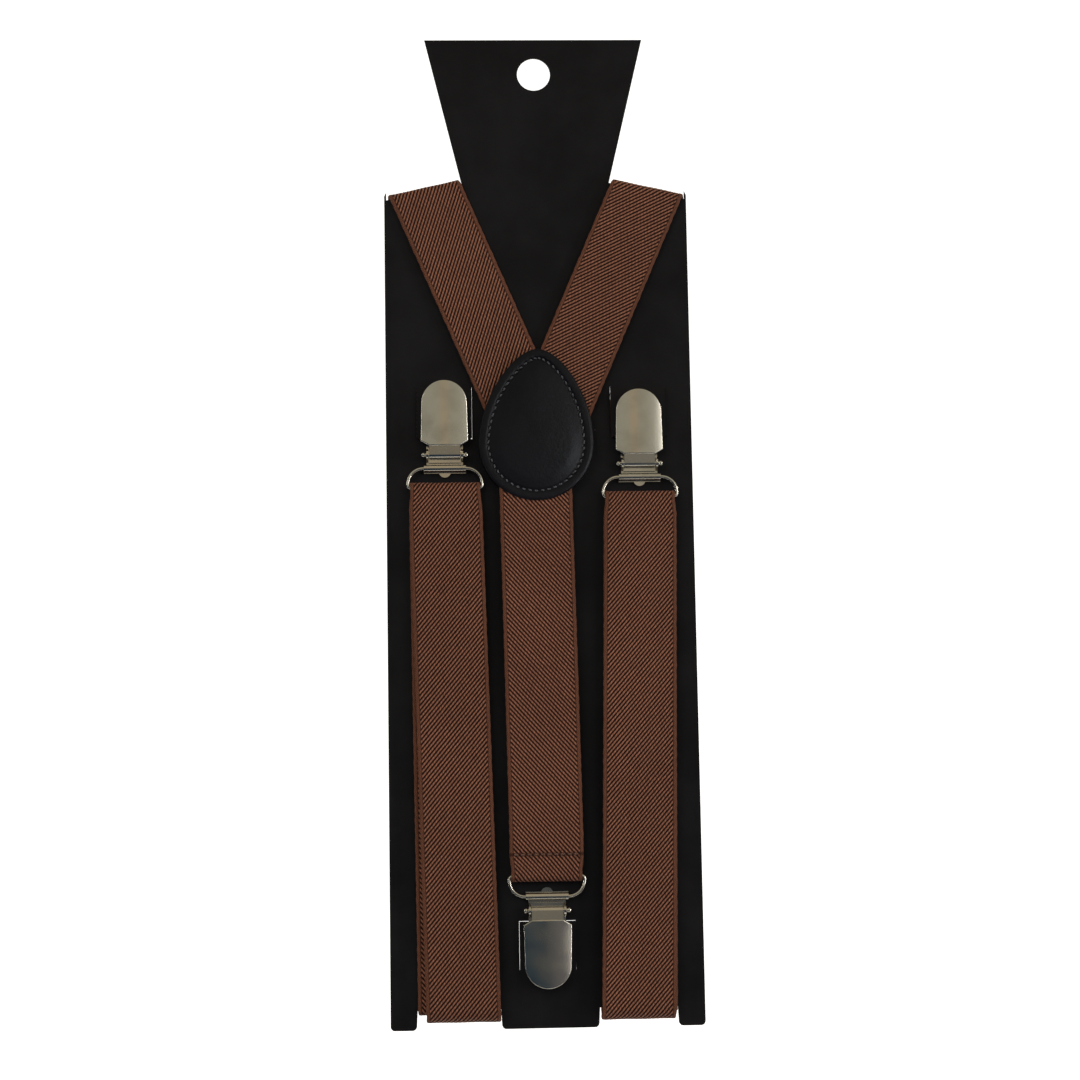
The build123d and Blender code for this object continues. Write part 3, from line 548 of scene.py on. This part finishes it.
def front_strap(side, name, shoulder_x, outer_x, inner_x):
    """One front strap in pieces that each cross at most one joint."""
    clip_x = middle(f"{name}_clip_wire_loop", 0)
    bar_z = millimetres(f"{name}_clip_wire_loop")[0][2] + 0.6
    slide_x = middle(f"{name}_adjuster", 0)
    node = f"{name}_front_strap"
    clip, loop, adjuster = f"{name}_clip", f"{name}_wire_loop", f"{name}_adjuster"
    rear = ADJUSTER_Z
    over_shoulder, lean, lean_back = shoulder_place(side, shoulder_x, slide_x)

    def behind(z):
        """The upper back run's middle at a height: its t and its x."""
        start = over_shoulder(0.0, -30.0)[0]
        t = -30.0 + (z - start[2]) / cos(lean_back)
        return t, over_shoulder(0.0, t)[0][0]

    route = Route((
        (slide_x, -SEWN_LAYER, rear - 11.0),
        (slide_x, -SEWN_LAYER, rear - 4.2, 1.0),
        (slide_x, -RING_LAYER, rear - 1.2, 1.0),
        (slide_x, -RING_LAYER, rear + BAR_RISE, BAR_TURN),
        (slide_x, -INNER_LAYER, rear + BAR_RISE, BAR_TURN),
        (inner_x, -INNER_LAYER, FOLD_Z - INNER_LAYER, INNER_LAYER - FOLD_SLACK),
        (inner_x, INNER_LAYER, FOLD_Z - INNER_LAYER, INNER_LAYER - FOLD_SLACK),
        (clip_x, INNER_LAYER, bar_z + WIRE_TURN, WIRE_TURN - FOLD_SLACK),
        (clip_x, OUTER_LAYER, bar_z + WIRE_TURN, WIRE_TURN - FOLD_SLACK),
        (outer_x, OUTER_LAYER, FOLD_Z - OUTER_LAYER, OUTER_LAYER - FOLD_SLACK),
        (outer_x, -OUTER_LAYER, FOLD_Z - OUTER_LAYER, OUTER_LAYER - FOLD_SLACK),
        (slide_x, -OUTER_LAYER, rear - 7.5, 1.5),
        (slide_x, -OVER_LAYER, rear - 1.8, 1.5),
        (slide_x, -OVER_LAYER, rear + 1.8, 1.5),
        (behind(rear + 14.0)[1], -DIAGONAL_LAYER, rear + 14.0, 1.5),
        (behind(rear + 40.0)[1], -DIAGONAL_LAYER, rear + 40.0),
    ))
    place = along_route(route, bar_z)
    ring_end = route.find(-INNER_LAYER, rear - PIECE_REACH, 18)
    inner_low = route.find(INNER_LAYER, CARD_RUN_Z - BELOW_CARD_RUN)
    inner_top = route.find(INNER_LAYER, bar_z - LOOP_RUN)
    outer_top = route.find(OUTER_LAYER, bar_z - LOOP_RUN)
    outer_low = route.find(OUTER_LAYER, CARD_RUN_Z - BELOW_CARD_RUN)
    over_begin = route.find(-OUTER_LAYER, rear - PIECE_REACH, outer_low)
    over_end = route.find(-DIAGONAL_LAYER, rear + PIECE_REACH, outer_low)

    def point(x, z, layer=0.0):
        return (x * MM, -layer * MM, z * MM)

    def run(part, begin, end, held, detail=1.0, **how):
        made = webbing(f"{name}_strap_{part}", place, begin, end, FRONT_TWILL, detail)
        finish_webbing(made, node, FRONT_WEB, end - begin, held, **how)

    run("sewn_end", 0, ring_end, "folded", body=adjuster)
    to_adjuster = (point(outer_x, CARD_RUN_Z - 11), point(slide_x, rear - 20.5))
    run("back_inner", ring_end, inner_low, "stretched", 2, bodies=("card", adjuster), ends=to_adjuster)
    to_clip = (point(outer_x, CARD_RUN_Z), point(clip_x, bar_z - LOOP_RUN - 4))
    run("front_inner", inner_low, inner_top, "stretched", 1, bodies=("card", clip), ends=to_clip)
    to_loop = (point(clip_x, bar_z - LOOP_RUN + 2), point(clip_x, bar_z - 1))
    run("loop", inner_top, outer_top, "folded", bodies=(clip, loop), ends=to_loop)
    run("front_outer", outer_top, outer_low, "stretched", bodies=("card", clip), ends=to_clip)
    run("back_outer", outer_low, over_begin, "stretched", bodies=("card", adjuster), ends=to_adjuster)
    run("over_bar", over_begin, over_end, "stretched", body=adjuster)

    # the upper back run, up to just under the shoulder fold, then over it and down the diagonal
    shift = over_end - behind(route.where(over_end)[0][2])[0]

    def beyond(u, v):
        square = 1 - smoothstep(over_end, over_end + 25, v)
        return over_shoulder(u, v - shift + side * u * tan(lean_back) * square)

    split = shift - 6.0
    made = webbing(f"{name}_strap_upper_back", beyond, over_end, split, FRONT_TWILL)
    to_card = (point(slide_x, rear + 20.5), point(shoulder_x, SHOULDER_Z - 5))
    finish_webbing(made, node, FRONT_WEB, split - over_end, "stretched",
                   bodies=(adjuster, "card"), ends=to_card)
    diagonal = np.hypot(SHOULDER_Z - JOINT_END_Z, (SHOULDER_Z - JOINT_END_Z) * tan(lean))
    finish = shift + diagonal

    def meet(u, v):
        """Keeps each diagonal on its own side of the line where the two straps meet."""
        centre_x = shoulder_x - side * (v - shift) * sin(lean)
        limit = (side * centre_x - side * (JOINT[0] + side * 0.05)) / cos(lean)
        inward = np.maximum(-side * u - np.maximum(limit, -WEB_HALF), 0)
        return u + side * inward * smoothstep(30, 60, v - shift)

    made = webbing(f"{name}_strap_diagonal", beyond, split, finish, FRONT_TWILL, trim=meet)
    finish_webbing(made, node, FRONT_WEB, finish - split, "folded", body="card")


for strap in FRONT_STRAPS:
    front_strap(*strap)


# ---------------------------------------------------------------- back strap
BACK_TOP = (-2.0, 3.2, -121.0)
BACK_BOTTOM_X = 0.1
back_bar = millimetres("back_clip_wire_loop")[1][2] - 0.6
back_route = Route((
    BACK_TOP,
    (BACK_BOTTOM_X, OUTER_LAYER, back_bar + 16, 40.0),
    (BACK_BOTTOM_X, OUTER_LAYER, back_bar - WIRE_TURN, WIRE_TURN - FOLD_SLACK),
    (BACK_BOTTOM_X, INNER_LAYER, back_bar - WIRE_TURN, WIRE_TURN - FOLD_SLACK),
    (BACK_BOTTOM_X, INNER_LAYER, back_bar + 1.0, 1.2),
    (BACK_BOTTOM_X, 2.4, back_bar + 6.2, 1.5),
    (BACK_BOTTOM_X, 2.4, back_bar + 9.7),
))
back_place = along_route(back_route, back_bar)
hem_begin = back_route.find(OUTER_LAYER, back_bar + 22)
made = webbing("back_strap_run", back_place, 0, hem_begin, BACK_TWILL)
finish_webbing(made, "back_strap", BACK_WEB, hem_begin, "stretched", bodies=("card", "back_clip"),
               ends=((0, 0, -0.160), (0, 0, (back_bar + 24) * MM)))
made = webbing("back_strap_hem", back_place, hem_begin, back_route.length, BACK_TWILL)
finish_webbing(made, "back_strap", BACK_WEB, back_route.length - hem_begin, "folded",
               bodies=("back_clip", "back_wire_loop"),
               ends=((0, 0, (back_bar + 8) * MM), (0, 0, (back_bar + 1) * MM)))


# ---------------------------------------------------------------- leather patch
PATCH_X = -1.2
PATCH_WIDE_Z = -132.4
PATCH_RADIUS = 19.8
PATCH_TOP_Z = -99.3
PATCH_TURN = radians(2)  # sewn on slightly askew, its narrow end to the right
PATCH_SIDE_PULL = 0.5
PATCH_TOP_PULL = 0.4
PATCH_CENTRE = 4.0  # the height of the egg's middle above its widest line
PATCH_BACK = 0.35
LEATHER_THICK = 0.85
PATCH_FACE = 4.6
PAD_RISE = 0.95
STITCH_INSET = 3.3
STITCHES = 55
STITCH_PITCH = 2.25
STITCH_LENGTH = 1.3
COLUMNS_PER_STITCH = 14
SAMPLES_PER_STITCH = 20
RIM_ROUND = 0.55
RIM_FALL = 0.6  # how far below the face the rim's rounding starts
FACE_LIFT = 0.02
PAD_INSET = 7.15  # where the rings give way to the even dome
CHANNEL_DEPTH = 0.34
CHANNEL_WIDTH = 0.55
HOLE_DEPTH = 0.75
HOLE_SIZE = 0.3
THREAD_RADIUS = 0.26
STITCH_SLANT = 0.25  # how far each stitch leans across the ring
HOLES = (0.17, 0.83)  # where a stitch's two holes are, as shares of its pitch
PAD_SWELL = 0.6


def ring_faces(rings, count, base=0):
    """Quads that join closed rings of count points each, the first ring starting at base."""
    faces = []
    for r in range(rings - 1):
        low, high = base + r * count, base + (r + 1) * count
        for c in range(count):
            n = (c + 1) % count
            faces.append((low + c, low + n, high + n, high + c))
    return faces


def egg(count):
    """Points evenly along the patch's outline, and the outward direction at each."""
    turn = np.linspace(pi, 2 * pi, 400)
    arc = np.stack([np.cos(turn), np.sin(turn)], -1)
    low = (PATCH_X, PATCH_WIDE_Z) + PATCH_RADIUS * arc
    side_z = PATCH_WIDE_Z + (PATCH_TOP_Z - PATCH_WIDE_Z) * PATCH_SIDE_PULL
    t = np.linspace(0, 1, 300)[:, None]
    sides = []
    for side in (1, -1):
        corners = np.array([
            (PATCH_X + side * PATCH_RADIUS, PATCH_WIDE_Z),
            (PATCH_X + side * PATCH_RADIUS, side_z),
            (PATCH_X + side * PATCH_RADIUS * PATCH_TOP_PULL, PATCH_TOP_Z),
            (PATCH_X, PATCH_TOP_Z),
        ])
        weights = np.hstack([(1 - t) ** 3, 3 * t * (1 - t) ** 2, 3 * t**2 * (1 - t), t**3])
        sides.append(weights @ corners)
    loop = np.concatenate([low, sides[0][1:], sides[1][-2::-1]])
    dx, dz = (loop - (PATCH_X, PATCH_WIDE_Z)).T
    loop = np.stack([
        PATCH_X + dx * cos(PATCH_TURN) + dz * sin(PATCH_TURN),
        PATCH_WIDE_Z + dz * cos(PATCH_TURN) - dx * sin(PATCH_TURN),
    ], -1)
    at = np.r_[0, np.cumsum(np.linalg.norm(np.diff(loop, axis=0), axis=1))]
    along = np.linspace(0, at[-1], count, endpoint=False)
    points = np.stack([np.interp(along, at, loop[:, i]) for i in range(2)], -1)
    way = np.roll(points, -3, axis=0) - np.roll(points, 3, axis=0)
    way /= np.linalg.norm(way, axis=1, keepdims=True)
    return points, np.stack([way[:, 1], -way[:, 0]], -1)


def cover(x, z):
    """The layer of the webbing's face at each point, or the back leather's where there is none."""
    layer = np.full(np.shape(x), PATCH_BACK + LEATHER_THICK + 0.05)
    for side, _, shoulder_x, _, _ in FRONT_STRAPS:
        dx, dz = shoulder_x - JOINT[0], SHOULDER_Z - JOINT[1]
        length = np.hypot(dx, dz)
        off = np.abs((x - JOINT[0]) * dz - (z - JOINT[1]) * dx) / length
        on = smoothstep(WEB_HALF + 1.6, WEB_HALF + 0.1, off) * smoothstep(-140, -134, z)
        layer = np.maximum(layer, layer + (DIAGONAL_LAYER + 0.8 - layer) * on)
    on = smoothstep(WEB_HALF + 1.6, WEB_HALF + 0.1, np.abs(x - BACK_TOP[0])) * smoothstep(-118, -123, z)
    return np.maximum(layer, layer + (BACK_TOP[1] + 0.85 - layer) * on)


def patch_front():
    """The padded front leather: a rolled rim, a stitched channel and a low dome."""
    count = STITCHES * COLUMNS_PER_STITCH
    outline, outward = egg(count)
    centre = np.array([PATCH_X, PATCH_WIDE_Z + PATCH_CENTRE])
    along = np.arange(count) / COLUMNS_PER_STITCH
    floor_layer = cover(outline[:, 0], outline[:, 1])
    rings, layers = [], []

    def ring(inset, layer):
        rings.append(outline - outward * inset)
        layers.append(np.broadcast_to(layer, count))

    ring(2.0, floor_layer + 0.35)
    ring(0.35, floor_layer)
    ring(0.08, floor_layer + 0.12)
    for share in np.linspace(0.25, 1, 4):
        ring(0.0, floor_layer + 0.3 + (PATCH_FACE - 0.95 - floor_layer) * share)
    for angle in np.linspace(0.2, pi / 2, 6):
        ring(RIM_ROUND * (1 - cos(angle)), PATCH_FACE - RIM_FALL + RIM_ROUND * np.sin(angle))
    to_hole = np.minimum(*(np.abs(along % 1 - at) for at in HOLES)) * STITCH_PITCH
    pucker = 0.5 + 0.5 * np.cos(2 * pi * along)
    insets = [np.arange(0.9, 2.3, 0.35), np.arange(2.45, 4.3, 0.17), np.arange(4.5, 7.4, 0.35)]
    for inset in np.concatenate(insets):
        off = inset - STITCH_INSET
        channel = CHANNEL_DEPTH * np.exp(-((off / CHANNEL_WIDTH) ** 2)) * (0.75 + 0.25 * pucker)
        hole = HOLE_DEPTH * np.exp(-(to_hole**2 + off**2) / HOLE_SIZE**2)
        pad = PAD_SWELL * smoothstep(STITCH_INSET, 9.5, inset) ** 0.8
        ring(inset, PATCH_FACE + FACE_LIFT - channel - hole + pad)
    last = outline - outward * PAD_INSET
    rim = layers[-1] - (PATCH_FACE + FACE_LIFT)
    for share in np.linspace(0.95, 0.06, 16):
        rings.append(centre + (last - centre) * share)
        dome = rim + (PAD_RISE - rim) * (1 - share**2)
        layers.append(PATCH_FACE + FACE_LIFT + dome)
    points = [to_frame(r[:, 0], layer, r[:, 1]) for r, layer in zip(rings, layers)]
    total = len(rings) * count
    points.append(np.array([to_frame(centre[0], PATCH_FACE + FACE_LIFT + PAD_RISE, centre[1])]))
    points.append(np.array([to_frame(centre[0], 4.0, centre[1])]))
    faces = ring_faces(len(rings), count)
    top = (len(rings) - 1) * count
    for c in range(count):
        n = (c + 1) % count
        faces.append((top + c, top + n, total))
        faces.append((n, c, total + 1))
    return mesh_object("patch_front_leather", np.concatenate(points), faces)


def patch_back():
    """The plain back leather with slightly worn edges."""
    count = 360
    outline, outward = egg(count)
    profile = [(9.0, 0.0), (0.5, 0.0), (0.12, 0.1), (0.0, 0.3)]
    profile += [(0.0, 0.55), (0.12, 0.75), (0.5, LEATHER_THICK), (9.0, LEATHER_THICK)]
    points = []
    for inset, rise in profile:
        ring = outline - outward * inset
        points.append(to_frame(ring[:, 0], PATCH_BACK + rise, ring[:, 1]))
    total = len(profile) * count
    for rise in (0.0, LEATHER_THICK):
        points.append(to_frame(PATCH_X, PATCH_BACK + rise, PATCH_WIDE_Z + PATCH_CENTRE)[None])
    faces = ring_faces(len(profile), count)
    top = (len(profile) - 1) * count
    for c in range(count):
        n = (c + 1) % count
        faces.append((n, c, total))
        faces.append((top + c, top + n, total + 1))
    return mesh_object("patch_back_leather", np.concatenate(points), faces)


def patch_thread():
    """The ring of stitches, each a short bow of thread between its two holes."""
    outline, outward = egg(STITCHES * SAMPLES_PER_STITCH)
    ring = outline - outward * STITCH_INSET
    closed = np.vstack([ring, ring[:1]])
    points, faces = [], []
    sides, steps = 8, 9
    turn = np.linspace(0, 2 * pi, sides, endpoint=False)
    share = np.linspace(-0.5, 0.5, steps)
    bow = PATCH_FACE - 0.1 - 0.45 * (2 * np.abs(share)) ** 3
    thick = THREAD_RADIUS * np.sqrt(1 - (np.abs(share) * 1.9) ** 4)
    for stitch in range(STITCHES):
        index = SAMPLES_PER_STITCH * (stitch + share * STITCH_LENGTH / STITCH_PITCH) % len(ring)
        line = np.stack([np.interp(index, np.arange(len(closed)), closed[:, i]) for i in range(2)], -1)
        out = outward[stitch * SAMPLES_PER_STITCH]
        line += out[None] * (share * STITCH_SLANT)[:, None]
        base = len(points) * sides
        for (x, z), layer, radius in zip(line, bow, thick):
            wide = radius * np.cos(turn)
            points.append(to_frame(x + out[0] * wide, layer + radius * np.sin(turn), z + out[1] * wide))
        faces += ring_faces(steps, sides, base)
        end = base + (steps - 1) * sides
        faces.append(tuple(range(base + sides - 1, base - 1, -1)))
        faces.append(tuple(range(end, end + sides)))
    return mesh_object("patch_stitches", np.concatenate(points), faces)


front_leather = patch_front()
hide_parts("patch_front")
back_leather = patch_back()
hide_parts("patch_back")
for made in (front_leather, back_leather):
    made.data.materials.append(LEATHER)
    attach(made, "card")
stitches = patch_thread()
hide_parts("patch_stitching")
stitches.data.materials.append(BLACK_THREAD)
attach(stitches, "card")


# ---------------------------------------------------------------- carried-over CAD nodes
def dress(node, material, crease=32):
    """Gives a CAD node its node material, smooth but for its sharp edges."""
    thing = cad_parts[node]
    thing.data.materials.clear()
    thing.data.materials.append(material)
    thing.data.shade_smooth()
    thing.data.set_sharp_from_angle(angle=radians(crease))


dress("display_card", BOARD)
for clip in ("left", "right", "back"):
    for part in ("back_jaw", "front_jaw", "lever", "pivot_pin", "wire_loop"):
        dress(f"{clip}_clip_{part}", NICKEL)
dress("back_strap_stitching", BROWN_THREAD)
for side in ("left", "right"):
    dress(f"{side}_adjuster", STEEL)
    dress(f"{side}_strap_end_stitching", BROWN_THREAD)


# ---------------------------------------------------------------- stage, light and camera
def sweep_backdrop():
    """A pale floor, far below the hanging card, that curves up into a pale wall behind it."""
    profile = [(-0.5, -1.2), (0.9, -1.2)]
    profile += [(0.9 + 0.4 * sin(a), -0.8 - 0.4 * cos(a)) for a in np.linspace(0.1, pi / 2, 14)]
    profile += [(1.3, 2.4)]
    points = [(x, y * 1000, z * 1000) for y, z in profile for x in (-3000, 3000)]
    faces = [(2 * i, 2 * i + 1, 2 * i + 3, 2 * i + 2) for i in range(len(profile) - 1)]
    return mesh_object("backdrop", points, faces)


backdrop = sweep_backdrop()
paper = Nodes("pale_paper", Roughness=0.9)
tooth = paper.noise(paper.place(), 300.0, 2.0)
depth = paper.add("ShaderNodeSeparateXYZ")
paper.put(paper.place(), depth.inputs[0])
paper.shader.inputs["Emission Color"].default_value = (1, 1, 1, 1)
paper.set(
    Base_Color=paper.mix(tooth, (0.86, 0.86, 0.86, 1), (0.88, 0.88, 0.88, 1)),
    Emission_Strength=paper.remap(depth.outputs[1], 0.2, 1.2, 0.0, 0.75),
)
backdrop.data.materials.append(paper.material)

AIM = Vector((-0.0003, 0, -0.1655))
CAMERA_DISTANCE = 0.75
CAMERA_BELOW = radians(6.53)
CAMERA_LEFT = radians(2.34)
CAMERA_ROLL = radians(-0.92)


def facing(position, target):
    """A placement at position that looks at target."""
    turn = (Vector(target) - Vector(position)).to_track_quat("-Z", "Y")
    return Matrix.Translation(position) @ turn.to_matrix().to_4x4()


def softbox(name, position, target, size, watts, colour):
    """A rectangular soft light."""
    lamp = bpy.data.lights.new(name, "AREA")
    lamp.shape = "RECTANGLE"
    lamp.size, lamp.size_y = size
    lamp.energy = watts
    lamp.color = colour
    thing = bpy.data.objects.new(name, lamp)
    bpy.context.scene.collection.objects.link(thing)
    thing.matrix_world = facing(position, target)
    return thing


key = softbox("key", (-0.9, -1.5, 0.5), AIM, (1.0, 1.0), 11, (1.0, 0.97, 0.92))
softbox("fill", (1.2, -1.4, -0.1), AIM, (0.8, 1.2), 5, (1.0, 0.97, 0.93))
sheen = softbox("sheen", (0.26, -0.70, -0.11), AIM, (0.12, 0.2), 0.65, (0.88, 0.93, 1.0))
sheen.light_linking.receiver_collection = bpy.data.collections.new("sheen_on")
sheen.light_linking.receiver_collection.objects.link(front_leather)
softbox("strip_left", (-0.75, -0.35, -0.12), AIM, (0.05, 0.7), 0.7, (1.0, 0.98, 0.95))
softbox("strip_right", (0.75, -0.35, -0.16), AIM, (0.05, 0.7), 2.0, (1.0, 0.98, 0.95))
key.visible_glossy = False

world = bpy.data.worlds.new("studio")
bpy.context.scene.world = world
world.use_nodes = True


def studio_surround(tree):
    """A soft surround: warm and pale above, dim and cool below, and plain pale to the camera."""
    link = tree.links.new
    way = tree.nodes.new("ShaderNodeSeparateXYZ")
    link(tree.nodes.new("ShaderNodeTexCoord").outputs["Generated"], way.inputs[0])

    def remap(value, low, high, absolute=False):
        if absolute:
            node = tree.nodes.new("ShaderNodeMath")
            node.operation = "ABSOLUTE"
            link(value, node.inputs[0])
            value = node.outputs[0]
        node = tree.nodes.new("ShaderNodeMapRange")
        node.interpolation_type = "SMOOTHSTEP"
        link(value, node.inputs[0])
        node.inputs[1].default_value, node.inputs[2].default_value = low, high
        return node.outputs[0]

    def mix(share, first, second):
        node = tree.nodes.new("ShaderNodeMix")
        node.data_type = "RGBA"
        link(share, node.inputs[0])
        for colour, socket in ((first, node.inputs[6]), (second, node.inputs[7])):
            if isinstance(colour, tuple):
                socket.default_value = (*colour, 1)
            else:
                link(colour, socket)
        return node.outputs[2]

    side, up = way.outputs[0], way.outputs[2]
    above = mix(remap(side, 0.02, 0.10, True), (0.45, 0.35, 0.225), (0.37, 0.355, 0.285))
    below = mix(remap(side, -0.02, 0.22), (0.012, 0.03, 0.05), (0.10, 0.095, 0.10))
    both = mix(remap(up, 0.0, 0.12), below, above)
    seen = tree.nodes.new("ShaderNodeLightPath").outputs["Is Camera Ray"]
    link(mix(seen, both, (0.9, 0.9, 0.9)), tree.nodes["Background"].inputs["Color"])


studio_surround(world.node_tree)
bpy.context.scene.view_settings.view_transform = "Standard"

lens = bpy.data.cameras.new("camera")
lens.lens = 72.5
lens.sensor_width = 36.0
camera = bpy.data.objects.new("camera", lens)
bpy.context.scene.collection.objects.link(camera)
look = Vector((
    sin(CAMERA_LEFT) * cos(CAMERA_BELOW),
    cos(CAMERA_LEFT) * cos(CAMERA_BELOW),
    sin(CAMERA_BELOW),
))
camera.matrix_world = facing(AIM - look * CAMERA_DISTANCE, AIM) @ Matrix.Rotation(CAMERA_ROLL, 4, "Z")
bpy.context.scene.camera = camera
